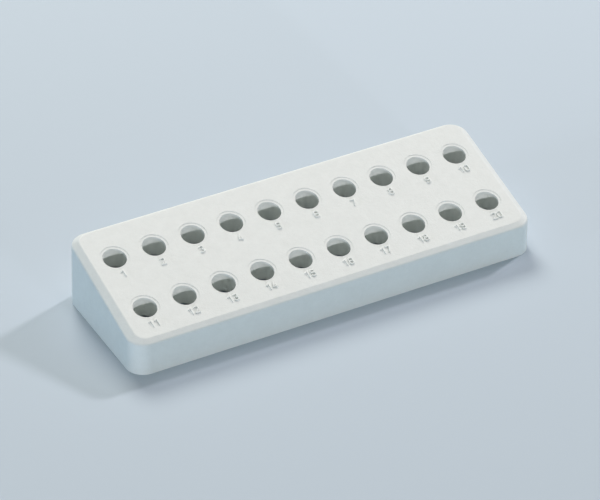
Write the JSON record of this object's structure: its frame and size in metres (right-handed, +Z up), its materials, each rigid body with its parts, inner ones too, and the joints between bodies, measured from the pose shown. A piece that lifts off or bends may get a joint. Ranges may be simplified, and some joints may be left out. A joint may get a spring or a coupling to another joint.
{
  "type": "microcentrifuge tube rack",
  "caption": "Low plastic rack with a sloping top, open underneath, with two rows of round holes that hold microcentrifuge tubes upright.",
  "frame": {"origin": "centre of the base, on the surface the rack stands on", "axes": "+X along the rows towards the last hole of each row, +Y from the low front wall to the high rear wall, +Z up"},
  "size_m": [0.2106, 0.0718, 0.0347],
  "materials": {
    "rack": "white polypropylene, lightly satin moulded skin"
  },
  "bodies": {
    "root": {"rack": "rack"}
  },
  "joints": []
}
